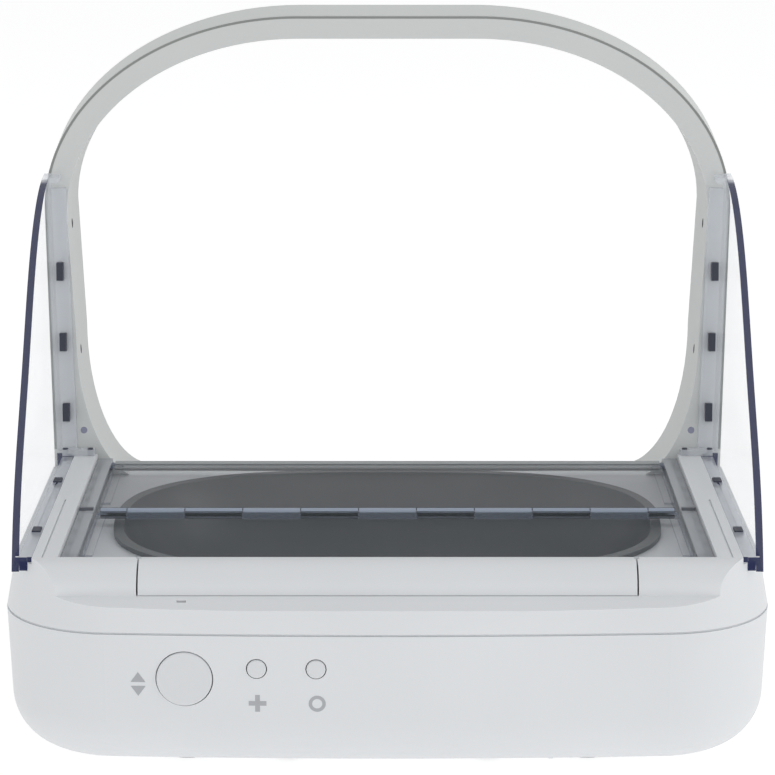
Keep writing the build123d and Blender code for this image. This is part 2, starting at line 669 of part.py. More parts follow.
# clear side tracks; the ends of the far bar enter their slots from the feeding side
slotHalf = barRadius + slotClearance
track = box(trackInner, trackOuter, recessRear + showGap, trackFront, recessFloor + fitGap / 2, trackTop)
track = track - box(trackInner - 1, trackInner + slotDepth, 30, trackFront + 1, hingeHeight - slotHalf,
                    hingeHeight + slotHalf)
track = track - rodX(trackInner - 1, trackOuter + 1, hingeRear, hingeHeight, shaftRadius + showGap)
for y in range(34, 134, 13):
    track = track - box(trackOuter - 1.4, trackOuter + 1, y, y + 8, recessFloor + 2, trackTop - 1.6)
save("right_track", track)
save("left_track", mirror(track, Plane.YZ))
# dark stops on the track tops behind the middle hinge
stop = box(trackInner + 0.2, trackOuter - 0.2, stopNear, stopFar, trackTop + 0.05, trackTop + 0.9)
save("track_stops", group(stop, mirror(stop, Plane.YZ)))


# ---- drive ----
def involute(baseRadius, radius):
    """Angle turned by an involute between its base circle and a radius."""
    ratio = sqrt(max(radius * radius / (baseRadius * baseRadius) - 1, 0.0))
    return ratio - atan(ratio)


def gearFace(firstTooth, toothCount, turn):
    """Involute teeth on a root disc, or on a sector and a small hub where only some teeth are kept."""
    pitch = gearRadius
    base = pitch * cos(radians(20))
    tip = pitch + 0.9 * gearModule
    root = pitch - 1.2 * gearModule
    half = pi / 2 / gearTeeth - gearBacklash / 2 / pitch
    flank = []
    for share in (0.0, 0.3, 0.6, 1.0):
        radius = base + share * (tip - base)
        angle = half + involute(base, pitch) - involute(base, radius)
        flank.append((radius, angle))
    face = Circle(root).face()
    if toothCount < gearTeeth:
        face = Circle(shaftRadius + 0.9).face()
        rim = []
        for step in range(2 * toothCount + 1):
            angle = radians(turn) + (firstTooth - 0.5 + step / 2) * 2 * pi / gearTeeth
            rim.append((root * cos(angle), root * sin(angle)))
        face = face + Polygon((0, 0), *rim, align=None).face()
    for tooth in range(firstTooth, firstTooth + toothCount):
        middle = radians(turn) + tooth * 2 * pi / gearTeeth
        left = [(root - 0.3, flank[0][1])] + flank
        points = [(r * cos(middle - a), r * sin(middle - a)) for r, a in left]
        points += [(r * cos(middle + a), r * sin(middle + a)) for r, a in reversed(left)]
        face = face + Polygon(*points, align=None).face()
    return face


def gear(y, z, firstTooth, toothCount, turn, bore):
    """Gear standing in the YZ plane; angles are measured from +Y toward +Z."""
    face = gearFace(firstTooth, toothCount, turn) - Circle(bore).face()
    return Plane(origin=(gearInner, y, z), x_dir=(0, 1, 0), z_dir=(1, 0, 0)) * extrude(face, amount=gearWidth)


toothAngle = 360 / gearTeeth
lidGear = gear(hingeRear, hingeHeight, -3, 4, -meshAngle, shaftRadius + 0.02)
driveGear = gear(meshY, meshZ, 0, gearTeeth, 180 - meshAngle + toothAngle / 2, crossShaftRadius + 0.02)
crossShaft = rodX(gearboxOuter + showGap, gearInner + gearWidth, meshY, meshZ, crossShaftRadius)
save("lid_gear", lidGear)
save("drive_gear", driveGear)
save("cross_shaft", crossShaft)
upper = upper - rodX(recessHalfWidth - 3, gearInner + 0.2, meshY, meshZ, crossShaftRadius + runGap)

# gearbox and motor on a shelf of the lower shell
gearbox = box(gearboxInner, gearboxOuter, gearboxRear, gearboxFront, gearboxBottom, gearboxTop)
gearbox = fillet(gearbox.edges().filter_by(Axis.X), 2.0)
bearing = rodX(gearboxOuter - 1, gearboxOuter + 0.25, meshY, meshZ, 3.0)
gearbox = gearbox + (bearing & box(0, 100, 0, 60, 0, gearboxTop))
motorRear = gearboxInner - motorLength
motor = rodX(motorRear, gearboxInner - 0.05, motorY, motorZ, motorRadius)
motor = motor & box(0, gearboxInner, 0, 60, motorZ - motorFlat, motorZ + motorFlat)
motor = motor + rodX(motorRear - 2, motorRear + 0.5, motorY, motorZ, 2.4)
save("gearbox", gearbox)
save("motor", motor)
shelfWall = 1.4
for x in (gearboxInner + 1.5, gearboxOuter - 2.7):
    shelf = box(x, x + shelfWall, gearboxRear + 1, gearboxFront - 2, footHeight + 1, gearboxBottom - 0.05)
    lower = lower + (shelf & outerLower)
lower = lower + box(motorRear + 8, motorRear + 8 + shelfWall, motorY - 5, motorY + 5, footHeight + 1,
                    motorZ - motorFlat - 0.05)

# ---- controls ----
buttons = {"bowl_button": controls[0], "pair_button": controls[1], "function_button": controls[2]}
domeHeight = 2.6
stemEnd = boardRear - domeHeight - buttonTravel - fitGap
switches = []
for name, (x, z, radius) in buttons.items():
    head = rodY(x, wallFace(x, z) - buttonProud, collarRear - 0.2, z, radius)
    head = fillet(head.edges().filter_by(GeomType.CIRCLE).sort_by(Axis.Y)[0], 0.5)
    collar = rodY(x, collarRear, collarRear + collarThickness, z, radius + collarWidth)
    head = head + rodY(x, collarRear - 0.3, collarRear + 0.2, z, radius) + collar
    head = head + rodY(x, collarRear + 0.9, stemEnd, z, stemRadius)
    save(name, head)
    lower = lower - rodY(x, collarRear - 0.4, boardRear - 1, z, radius + collarWidth + 0.5)
    dome = rodY(x, boardRear - domeHeight, boardRear - 1, z, 1.2)
    switches.append(box(x - 3, x + 3, boardRear - 1.6, boardRear - 0.05, z - 3, z + 3) + dome)
board = box(boardX - boardHalfLength, boardX + boardHalfLength, boardRear, boardRear + boardThickness,
            *boardHeights)
for x, z in boardPosts:
    board = board - rodY(x, 0, 20, z, 1.1)
save("circuit_board", board)
save("switches", group(*switches))
boardFront = boardRear + boardThickness
boardScrews = []
for x, z in boardPosts:
    boardScrews.append(rodY(x, 5.4, boardFront + 0.3, z, 0.75) + rodY(x, boardFront + 0.03,
                                                                      boardFront + 1.3, z, 1.7))
save("board_screws", group(*boardScrews))
emitter = box(statusX - 1.5, statusX + 1.5, boardRear - 2.4, boardRear - 0.05, boardHeights[1] - 6,
              boardHeights[1] - 2)
save("status_emitter", emitter)
guide = box(statusX - 1.3, statusX + 1.3, slotY - 0.45, slotY + 0.45, 45.5, 53.0)
guide = guide + box(statusX - 1.3, statusX + 1.3, slotY - 0.45, boardRear - 0.9, 43.6, 45.6)
guide = guide + box(statusX - 1.3, statusX + 1.3, boardRear - 2.2, boardRear - 0.9, boardHeights[1] - 1.8,
                    45.6)
save("light_guide", guide & upperSolid(0.1))
chip = box(boardX + 8, boardX + 20, boardFront + 0.03, boardFront + 2.0, 24, 34)
terminal = box(boardX + 24, boardX + 32, boardFront + 0.03, boardFront + 5.5, 22, 30)
save("board_parts", group(chip, terminal))

# ---- batteries ----
cells, springs, plates = [], [], []
for side in (-1, 1):
    x = side * cellX
    start = bayRear + springLength + 1.0
    for index in range(2):
        y = start + index * (cellLength + 0.05)
        cell = rodY(x, y, y + cellLength - 1.6, cellHeight, cellRadius - 0.05)
        cells.append(cell + rodY(x, y + cellLength - 1.7, y + cellLength, cellHeight, 3.4))
    plates.append(box(x - 6, x + 6, bayFront - 0.75, bayFront - 0.05, cellHeight - 6, cellHeight + 6))
    plates.append(box(x - 6, x + 6, bayRear + 0.05, bayRear + 0.65, cellHeight - 6, cellHeight + 6))
    coilPath = Helix(pitch=1.6, height=6.2, radius=4.2)
    wire = sweep(Plane(origin=coilPath @ 0, z_dir=coilPath % 0) * Circle(0.4), path=coilPath)
    springs.append(Pos(x, bayRear + 1.1, cellHeight) * Rot(-90, 0, 0) * wire)
save("cells", group(*cells))
save("battery_springs", group(*springs))
save("battery_contacts", group(*plates))

for side, name in ((-1, "left_battery_door"), (1, "right_battery_door")):
    x = side * cellX
    plate = box(x - bayHalf + showGap, x + bayHalf - showGap, bayRear + showGap, bayFront - showGap,
                footHeight, footHeight + doorThickness)
    hingeX = side * (cellX - bayHalf + hingePin + showGap)
    corner = box(hingeX, hingeX - side * 3, bayRear, bayFront, -1, 6)
    plate = (plate - corner) + rodY(hingeX, bayRear + showGap, bayFront - showGap, doorPinHeight, hingePin)
    plate = plate + rodY(hingeX, bayRear - 1.1, bayFront + 1.1, doorPinHeight, hingePin / 2)
    door = plate & lowerSolid(0.0, footHeight, bottomFillet)
    for y in (bayRear + 22, bayRear + 54, bayRear + 86):
        door = door + box(x - 10, x + 8, y - 0.6, y + 0.6, footHeight + 1, footHeight + doorThickness + 0.8)
    thumb = Pos(x + side * 6, (bayRear + bayFront) / 2, footHeight) * Cylinder(5.5, 1.4)
    door = door - thumb
    save(name, door)

# ---- feet, screws, tray and mat ----
feet = []
for x, y in feetAt:
    feet.append(rodZ(x, y, 0, footHeight + 0.75, footRadius))
save("rubber_feet", group(*feet))
screws = []
for x, y in bossAt:
    headTop = footHeight + 4 - 0.05
    screw = rodZ(x, y, headTop - 2.2, headTop, headRadius)
    screw = screw + rodZ(x, y, headTop - 1, min(bossRoof(y) - 1.5, bossTop + 10), screwRadius - pinGap)
    cross = box(x - 1.8, x + 1.8, y - 0.4, y + 0.4, headTop - 3, headTop - 1.2)
    cross = cross + box(x - 0.4, x + 0.4, y - 1.8, y + 1.8, headTop - 3, headTop - 1.2)
    screws.append(screw - cross)
save("housing_screws", group(*screws))

trayEnd = overallDepth
trayMiddle = (trayRear + trayEnd) / 2
trayPlan = RectangleRounded(2 * trayHalfWidth, trayEnd - trayRear, 34)
tray = extrude(Pos(0, trayMiddle, 0) * trayPlan, amount=trayThickness + trayRim)
hollowPlan = RectangleRounded(2 * trayHalfWidth - 8, trayEnd - trayRear - 8, 30)
tray = tray - extrude(Pos(0, trayMiddle, trayThickness) * hollowPlan, amount=20)
tray = fillet(tray.edges().filter_by(lambda edge: abs(edge.center().Z - trayThickness - trayRim) < 0.01), 1.4)
clearHousing = extrude(planOutline(seamHeight, inset=-showGap),
                       amount=-(seamHeight - footHeight + showGap), taper=sideDraft)
bottomEdges = clearHousing.edges().filter_by(lambda edge: abs(edge.center().Z - footHeight + showGap) < 0.01)
clearHousing = fillet(bottomEdges, bottomFillet)
clearHousing = clearHousing + box(-96, 96, 100, housingDepth - bottomFillet + 1, -1, 10)
tray = tray - clearHousing
for x in tongueX:
    arm = box(x - tongueHalf, x + tongueHalf, housingDepth + 0.6, housingDepth + 3.4, trayThickness - 0.4,
              tongueHeights[1])
    tongue = box(x - tongueHalf, x + tongueHalf, housingDepth - 5.5, housingDepth + 1, *tongueHeights)
    tray = tray + arm + tongue
save("front_tray", tray)
matPlan = Pos(0, trayMiddle, trayThickness + 0.05) * RectangleRounded(2 * trayHalfWidth - 9,
                                                                      trayEnd - trayRear - 9, 29.5)
mat = extrude(matPlan, amount=matThickness) - clearHousing - box(-120, 120, 100, housingDepth + 4.2, -1, 20)
for index in range(7):
    y = housingDepth + 16 + index * 11
    mat = mat - box(-80, 80, y, y + 2, trayThickness + matThickness - 0.6, 10)
save("front_mat", mat)
save("lower_housing", lower)
save("upper_housing", upper)
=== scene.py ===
import bpy
import json
import math
import numpy as np
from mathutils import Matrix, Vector


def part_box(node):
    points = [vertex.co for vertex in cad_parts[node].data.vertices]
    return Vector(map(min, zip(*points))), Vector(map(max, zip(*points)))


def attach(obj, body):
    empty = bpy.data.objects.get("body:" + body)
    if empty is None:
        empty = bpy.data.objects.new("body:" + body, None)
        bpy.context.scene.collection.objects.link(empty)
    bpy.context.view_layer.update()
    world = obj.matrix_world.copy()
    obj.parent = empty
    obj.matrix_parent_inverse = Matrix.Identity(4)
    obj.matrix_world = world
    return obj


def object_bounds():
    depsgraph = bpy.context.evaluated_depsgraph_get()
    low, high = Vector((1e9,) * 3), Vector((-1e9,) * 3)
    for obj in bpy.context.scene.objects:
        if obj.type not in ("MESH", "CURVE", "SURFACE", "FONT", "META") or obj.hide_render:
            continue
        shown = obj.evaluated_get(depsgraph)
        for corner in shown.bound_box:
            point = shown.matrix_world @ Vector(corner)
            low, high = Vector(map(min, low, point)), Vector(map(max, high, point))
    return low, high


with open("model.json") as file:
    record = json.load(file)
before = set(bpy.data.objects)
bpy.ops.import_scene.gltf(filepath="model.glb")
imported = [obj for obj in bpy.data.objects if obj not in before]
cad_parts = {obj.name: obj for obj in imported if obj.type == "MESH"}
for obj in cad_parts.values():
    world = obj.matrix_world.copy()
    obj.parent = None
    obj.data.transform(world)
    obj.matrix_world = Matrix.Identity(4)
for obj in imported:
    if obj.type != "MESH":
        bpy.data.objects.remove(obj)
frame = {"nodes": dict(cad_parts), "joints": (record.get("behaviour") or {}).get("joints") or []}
firstBounds = [list(corner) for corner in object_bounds()]
nodes = frame["nodes"]
jointAt = {joint["name"]: joint.get("pos_m") for joint in frame["joints"]}
print("frame loaded:", len(nodes), "nodes")


class Wire:
    # a socket that can be used in sums; every operator adds one Math node
    def __init__(self, owner, socket):
        self.owner = owner
        self.socket = socket

    def math(self, operation, *others):
        return self.owner.node("ShaderNodeMath", {"operation": operation}, [self, *others])

    def __add__(self, other):
        return self.math("ADD", other)

    def __radd__(self, other):
        return self.math("ADD", other)

    def __sub__(self, other):
        return self.math("SUBTRACT", other)

    def __rsub__(self, other):
        return self.owner.node("ShaderNodeMath", {"operation": "SUBTRACT"}, [other, self])

    def __mul__(self, other):
        return self.math("MULTIPLY", other)

    def __rmul__(self, other):
        return self.math("MULTIPLY", other)

    def __abs__(self):
        return self.math("ABSOLUTE")

    def above(self, edge, soft):
        # 0 below the edge and 1 above it, over a soft width
        return self.owner.node("ShaderNodeMapRange", {"clamp": True, "interpolation_type": "SMOOTHSTEP"},
                               {"Value": self, "From Min": edge - soft, "From Max": edge + soft})

    def below(self, edge, soft):
        return 1 - self.above(edge, soft)

    def square(self, soft=0.15):
        # for one axis of a normal: 1 on faces nearly square to that axis, 0 on the others
        return abs(self).above(0.7, soft)


class NodeTree:
    # a cleared shader tree, with one way to add nodes and an output that shows a shader
    def __init__(self, holder, outputKind):
        holder.use_nodes = True
        self.tree = holder.node_tree
        self.tree.nodes.clear()
        self.output = self.tree.nodes.new(outputKind)

    def put(self, socket, value):
        if isinstance(value, Wire):
            self.tree.links.new(value.socket, socket)
        else:
            socket.default_value = value

    def node(self, kind, settings=None, inputs=None, out=0):
        made = self.tree.nodes.new(kind)
        for key, value in (settings or {}).items():
            setattr(made, key, value)
        pairs = inputs.items() if isinstance(inputs, dict) else enumerate(inputs or [])
        for key, value in pairs:
            self.put(made.inputs[key], value)
        return Wire(self, made.outputs[out])

    def axes(self, vector):
        split = self.node("ShaderNodeSeparateXYZ", None, [vector])
        return [Wire(self, output) for output in split.socket.node.outputs]

    def show(self, shader):
        self.put(self.output.inputs[0], shader)


class Paint(NodeTree):
    # one material: its tree and its Principled surface
    def __init__(self, name, **fixed):
        self.material = bpy.data.materials.new(name)
        super().__init__(self.material, "ShaderNodeOutputMaterial")
        self.surface = self.node("ShaderNodeBsdfPrincipled")
        self.show(self.surface)
        self.feed(**fixed)

    def feed(self, **values):
        # sockets of the surface by name, with an underscore for a space
        for name, value in values.items():
            self.put(self.surface.socket.node.inputs[name.replace("_", " ")], value)

    def place(self):
        return self.node("ShaderNodeTexCoord", out="Object")

    def facing(self):
        # the piece's own normal, so a paint stays with it as it turns
        return self.axes(self.node("ShaderNodeTexCoord", out="Normal"))

    def noise(self, scale, detail=3.0):
        return self.node("ShaderNodeTexNoise", None,
                         {"Vector": self.place(), "Scale": scale, "Detail": detail})

    def mix(self, share, first, second):
        return self.node("ShaderNodeMix", {"data_type": "RGBA"}, {0: share, 6: first, 7: second}, out=2)

    def edges(self, radius, bend):
        # 1 where the rounded normal leaves the flat one, near an edge
        rounded = self.node("ShaderNodeBevel", {"samples": 4}, {"Radius": radius})
        flat = self.node("ShaderNodeNewGeometry", out="Normal")
        match = self.node("ShaderNodeVectorMath", {"operation": "DOT_PRODUCT"}, [rounded, flat], out="Value")
        return (1 - match).above(*bend)

    def bump(self, height, strength):
        self.feed(Normal=self.node("ShaderNodeBump", None,
                                   {"Height": height, "Strength": strength, "Distance": 0.0005}))


def rgb(red, green, blue):
    # sRGB numbers from 0 to 255, as linear colour
    def linear(value):
        value = value / 255
        return value / 12.92 if value <= 0.04045 else ((value + 0.055) / 1.055) ** 2.4
    return (linear(red), linear(green), linear(blue), 1.0)


# moulded plastics: colour drifts from low to high, and edge is the paler colour painted as a highlight on
# rounded edges
plasticLooks = {
    "shellWhite": {"low": rgb(219, 221, 223), "high": rgb(226, 228, 230), "edge": rgb(238, 240, 242),
                   "roughness": 0.36, "grain": 0.03},
    "archGrey": {"low": rgb(204, 206, 205), "high": rgb(211, 213, 212), "edge": rgb(226, 227, 227),
                 "roughness": 0.42, "grain": 0.04},
    "archOutside": {"low": rgb(206, 210, 206), "high": rgb(214, 218, 214), "edge": rgb(232, 234, 232),
                    "roughness": 0.38, "grain": 0.04},
    "bowlGrey": {"low": rgb(62, 65, 62), "high": rgb(72, 75, 72), "edge": rgb(104, 107, 104),
                 "roughness": 0.34, "grain": 0.05},
    "keyWhite": {"low": rgb(214, 216, 218), "high": rgb(220, 222, 224), "roughness": 0.38, "grain": 0.03},
    "matGrey": {"low": rgb(92, 94, 96), "high": rgb(104, 106, 108), "roughness": 0.7, "grain": 0.3},
    "rubberPale": {"low": rgb(176, 178, 180), "high": rgb(188, 190, 192), "roughness": 0.8, "grain": 0.3},
    "darkPart": {"low": rgb(44, 47, 62), "high": rgb(56, 59, 74), "roughness": 0.45, "grain": 0.05},
    "nylonPale": {"low": rgb(222, 220, 208), "high": rgb(232, 230, 220), "roughness": 0.5, "grain": 0.1},
    "boardGreen": {"low": rgb(18, 88, 52), "high": rgb(26, 100, 60), "roughness": 0.3, "grain": 0.1},
    "cellWrap": {"low": rgb(60, 78, 74), "high": rgb(72, 92, 86), "roughness": 0.35, "grain": 0.02},
    "copperWire": {"low": rgb(176, 96, 54), "high": rgb(200, 116, 68), "roughness": 0.3, "grain": 0.5},
    "markGrey": {"low": rgb(168, 170, 174), "high": rgb(176, 178, 182), "roughness": 0.5, "grain": 0.02},
    # a mid grey for the painted shade in the arch's seam groove
    "seamGrey": {"low": rgb(134, 137, 134), "high": rgb(144, 147, 144), "roughness": 0.6, "grain": 0.02},
    "stopGrey": {"low": rgb(96, 99, 106), "high": rgb(106, 109, 116), "roughness": 0.5, "grain": 0.03},
    "rodGrey": {"low": rgb(136, 144, 158), "high": rgb(150, 158, 172), "roughness": 0.3, "grain": 0.02},
    "guideDark": {"low": rgb(70, 72, 74), "high": rgb(78, 80, 82), "roughness": 0.8, "grain": 0.02},
}
# the last three values set the painted highlight on rounded edges: its reach, the bend it needs and its share
mouldLook = {"refraction": 1.46, "driftScale": 18.0, "driftGloss": 0.08, "grainScale": 1500.0, "detail": 2.0,
             "wornWidth": 0.0006, "wornTurn": (0.12, 0.1), "wornShare": 0.5}


def plastic(name, low, high, roughness, grain, edge=None):
    # faint colour drift, fine grain and a painted highlight that brightens rounded edges
    look = mouldLook
    paint = Paint(name, IOR=look["refraction"])
    drift = paint.noise(look["driftScale"], look["detail"])
    colour = paint.mix(drift, low, high)
    if edge:
        # painted highlight: rounded edges are mixed toward the paler edge colour
        edgeHighlight = paint.edges(look["wornWidth"], look["wornTurn"])
        colour = paint.mix(edgeHighlight * look["wornShare"], colour, edge)
    paint.feed(Base_Color=colour, Roughness=roughness + (drift - 0.5) * look["driftGloss"])
    paint.bump(paint.noise(look["grainScale"], look["detail"]), grain)
    return paint.material


lensLook = {"window": rgb(24, 24, 28), "front": rgb(150, 152, 172), "gloss": 0.05, "driftScale": 40.0,
            "roughness": 0.7, "driftGloss": 0.1, "grainScale": 900.0, "grain": 0.02}


def lensPaint(name, look):
    # matt dark windows on the tunnel walls, and a paler violet grey on the lens that faces the controls
    paint = Paint(name, Specular_IOR_Level=look["gloss"])
    front = paint.facing()[1].square(0.1)
    drift = paint.noise(look["driftScale"])
    paint.feed(Base_Color=paint.mix(front, look["window"], look["front"]),
               Roughness=look["roughness"] + drift * look["driftGloss"])
    paint.bump(paint.noise(look["grainScale"]), look["grain"])
    return paint.material


steelLook = {"low": rgb(176, 178, 180), "high": rgb(206, 208, 210), "driftScale": 60.0, "detail": 4.0,
             "roughness": 0.22, "driftGloss": 0.12, "grainScale": 900.0, "grain": 0.03}


def steelPaint(name, look):
    # bright metal with a faint drift in colour and gloss
    paint = Paint(name, Metallic=1.0)
    drift = paint.noise(look["driftScale"], look["detail"])
    paint.feed(Base_Color=paint.mix(drift, look["low"], look["high"]),
               Roughness=look["roughness"] + drift * look["driftGloss"])
    paint.bump(paint.noise(look["grainScale"]), look["grain"])
    return paint.material


clearLook = {"refraction": 1.3, "roughness": 0.08}


def clearPaint(name, gloss):
    # clear plastic that still mirrors a little at grazing angles
    look = clearLook
    return Paint(name, IOR=look["refraction"], Roughness=look["roughness"], Specular_IOR_Level=gloss)


# pairs are an edge and its softness: on a normal's axis, or in metres for the heel's top
shieldLook = {"body": rgb(226, 232, 240), "veil": 0.12, "strip": rgb(222, 226, 232), "stripVeil": 0.42,
              "rim": rgb(40, 46, 82), "rimVeil": 0.95, "rimUp": (0.2, 0.06), "rimBack": (-0.16, 0.05),
              "heelBack": (-0.75, 0.1), "heelTop": (0.0636, 0.0002), "gloss": 0.25,
              "smearScale": 26.0, "smear": 0.05}


def shieldPaint(name, look):
    # see-through faces across X, whitish strips, and a navy free edge and heel
    paint = clearPaint(name, look["gloss"])
    alongX, alongY, alongZ = paint.facing()
    height = paint.axes(paint.place())[2]
    side = alongX.square()
    freeEdge = alongZ.above(*look["rimUp"]) * alongY.below(*look["rimBack"])
    heel = alongY.below(*look["heelBack"]) * height.below(*look["heelTop"])
    rim = freeEdge.math("MAXIMUM", heel)
    smear = (paint.noise(look["smearScale"]) - 0.5) * look["smear"]
    body = paint.mix(side, look["strip"], look["body"])
    veil = look["stripVeil"] + side * (look["veil"] - look["stripVeil"]) + smear
    paint.feed(Base_Color=paint.mix(rim, body, look["rim"]), Alpha=veil + rim * (look["rimVeil"] - veil))
    return paint.material


# the lid folds at its own joint, and its far bar lies as far beyond the fold as the hinge lies before it
foldAt, hingeAt = jointAt["lid_fold"][1], jointAt["lid_open"][1]
# the barrels are painted as lit above and shaded below; on the far bar the lower colour is painted paler, to
# lift the shade the lamps leave on its underside
lidLook = {"fold": foldAt, "bar": 2 * foldAt - hingeAt, "barrel": (0.0021, 0.0002), "barRadius": 0.00175,
           "sharp": 0.0001, "litReach": 0.0016, "litBarrel": (0.39, 0.1), "litBar": (0.35, 0.15),
           "pale": rgb(164, 174, 190), "dark": rgb(46, 56, 54), "barPale": rgb(176, 179, 180),
           "barDark": rgb(214, 216, 217), "barrelVeil": 0.9, "lip": rgb(206, 210, 213), "lipVeil": 0.85,
           "gloss": 0.12, "smearScale": 22.0, "smear": 0.04}
# the front panel's grey veil is partly the lid's own tint and partly a painted reflection of the pale
# surroundings, which the panel mirrors at this low angle
rearPanelLook = {"tint": rgb(150, 156, 166), "veil": 0.1, "rimTint": rgb(140, 150, 166), "rimVeil": 0.5}
frontPanelLook = {"tint": rgb(146, 149, 155), "veil": 0.2, "rimTint": rgb(140, 147, 157), "rimVeil": 0.5}


def lidPaint(name, panel):
    # flat faces almost clear, rims denser, and the barrels on the hinge lines painted with a highlight on
    # their upper side and painted shade below
    look = lidLook
    paint = clearPaint(name, look["gloss"])
    along = paint.axes(paint.place())[1]
    up = paint.facing()[2]
    flat = up.square()
    middle = abs(along - look["fold"]).below(*look["barrel"])
    far = abs(along - look["bar"]).below(look["barRadius"], look["sharp"])
    barrel = middle.math("MAXIMUM", far)
    lip = along.above(look["bar"] + look["barRadius"], look["sharp"])
    smear = (paint.noise(look["smearScale"]) - 0.5) * look["smear"]
    pale = paint.mix(far, look["pale"], look["barPale"])
    dark = paint.mix(far, look["dark"], look["barDark"])
    # painted highlight on the upper side of the barrels, painted shade on the rest
    top = up.above(*look["litBarrel"]) * along.above(look["fold"] - look["litReach"], look["sharp"])
    lit = top + far * (up.above(*look["litBar"]) - top)
    colour = paint.mix(flat, panel["rimTint"], panel["tint"])
    colour = paint.mix(barrel, colour, paint.mix(lit, dark, pale))
    veil = panel["rimVeil"] + flat * (panel["veil"] - panel["rimVeil"]) + smear
    veil = veil + barrel * (look["barrelVeil"] - veil)
    paint.feed(Base_Color=paint.mix(lip, colour, look["lip"]), Alpha=veil + lip * (look["lipVeil"] - veil))
    return paint.material


trackLook = {"tint": rgb(206, 209, 213), "veil": 0.45, "rimTint": rgb(166, 171, 178), "rimVeil": 0.6,
             "gloss": 0.2, "smearScale": 26.0, "smear": 0.04}


def trackPaint(name, look):
    # see-through level faces, and denser rims elsewhere
    paint = clearPaint(name, look["gloss"])
    rim = 1 - paint.facing()[2].square()
    smear = (paint.noise(look["smearScale"]) - 0.5) * look["smear"]
    veil = look["veil"] + smear + rim * (look["rimVeil"] - look["veil"])
    paint.feed(Base_Color=paint.mix(rim, look["tint"], look["rimTint"]), Alpha=veil)
    return paint.material


paints = {name: plastic(name, **look) for name, look in plasticLooks.items()}
paints["lensMixed"] = lensPaint("lensMixed", lensLook)
paints["steelBright"] = steelPaint("steelBright", steelLook)
paints["shieldClear"] = shieldPaint("shieldClear", shieldLook)
paints["lidRearClear"] = lidPaint("lidRearClear", rearPanelLook)
paints["lidFrontClear"] = lidPaint("lidFrontClear", frontPanelLook)
paints["trackClear"] = trackPaint("trackClear", trackLook)

wornBy = {
    "shellWhite": ["lower_housing", "upper_housing", "centre_cover", "front_tray", "left_battery_door",
                   "right_battery_door"],
    "archGrey": ["arch_inner"],
    "archOutside": ["arch_outer"],
    "bowlGrey": ["bowl"],
    "keyWhite": ["bowl_button", "pair_button", "function_button"],
    "matGrey": ["front_mat"],
    "rubberPale": ["rubber_feet"],
    "darkPart": ["shield_clips", "switches", "board_parts"],
    "nylonPale": ["gearbox", "lid_gear", "drive_gear", "status_emitter"],
    "boardGreen": ["circuit_board"],
    "cellWrap": ["cells"],
    "copperWire": ["antenna_coil"],
    "stopGrey": ["track_stops"],
    "rodGrey": ["lid_shaft", "lid_mid_rod", "lid_far_bar"],
    "guideDark": ["light_guide"],
    "lensMixed": ["sensor_windows"],
    "steelBright": ["motor", "board_screws", "battery_springs", "battery_contacts", "housing_screws",
                    "cross_shaft"],
    "shieldClear": ["left_shield", "right_shield"],
    "lidRearClear": ["lid_rear_panel"],
    "lidFrontClear": ["lid_front_panel"],
    "trackClear": ["left_track", "right_track"],
}
for paintName, wearers in wornBy.items():
    for wearer in wearers:
        nodes[wearer].data.materials.clear()
        nodes[wearer].data.materials.append(paints[paintName])
print("materials set on", sum(len(wearers) for wearers in wornBy.values()), "of", len(nodes), "nodes")


def addPiece(name, points, faces, material):
    mesh = bpy.data.meshes.new(name)
    mesh.from_pydata(points.tolist(), [], faces)
    mesh.materials.append(material)
    piece = bpy.data.objects.new(name, mesh)
    bpy.context.collection.objects.link(piece)
    return piece


def railQuads(count, closed):
    # quads between four rails of points: each joins one step of a rail to the same step of the next rail
    step = np.arange(count if closed else count - 1)
    after = (step + 1) % count
    rail = np.arange(4)[:, None] * count
    beside = np.roll(rail, -1, axis=0)
    return np.stack([rail + step, beside + step, beside + after, rail + after], axis=-1).reshape(-1, 4)


# printed marks beside the keys; the wall's rear line is half the overall depth from the origin
markLook = {"proud": 0.00005, "sunk": 0.00003, "core": 0.02, "rear": -firstBounds[1][1],
            "seam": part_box("lower_housing")[1].z, "bow": 1.45, "draft": 0.0419}


def wallAt(x, z):
    # outer face of the lower shell: half the squared width over the bow radius, plus the draft below the seam
    return markLook["rear"] + x * x / (2 * markLook["bow"]) + (markLook["seam"] - z) * markLook["draft"]


def besideKey(key, aside, drop):
    # x and z of a spot so far aside of a key's middle and so far below it
    low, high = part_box(key)
    middle = (low + high) / 2
    return np.array([middle.x + aside, middle.z - drop])


def printMark(name, outer, inner, body):
    # a thin printed film: an outer and an inner loop, each at two depths
    sunk, proud = markLook["sunk"], -markLook["proud"]
    rails = []
    for loop, lift in ((outer, sunk), (outer, proud), (inner, proud), (inner, sunk)):
        x, z = loop.T
        rails.append(np.stack([x, wallAt(x, z) + lift, z], axis=1))
    quads = railQuads(len(outer), closed=True)
    mark = addPiece(name, np.concatenate(rails), quads.tolist(), paints["markGrey"])
    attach(mark, body)


def shrunk(loop, share):
    # the same loop drawn in toward its middle
    middle = loop.mean(axis=0)
    return middle + (loop - middle) * share


# each triangle has the height of its base and of its tip, above the spot
triangleLook = {"key": "bowl_button", "aside": -0.01363, "drop": 0.0018, "half": 0.0022,
                "openMark": (0.0006, 0.0037), "closeMark": (-0.0006, -0.0037)}
for name in ("openMark", "closeMark"):
    base, tip = triangleLook[name]
    half = triangleLook["half"]
    spot = besideKey(triangleLook["key"], triangleLook["aside"], triangleLook["drop"])
    loop = spot + np.array([[-half, base], [0, tip], [half, base]])
    printMark(name, loop, shrunk(loop, markLook["core"]), "housing")

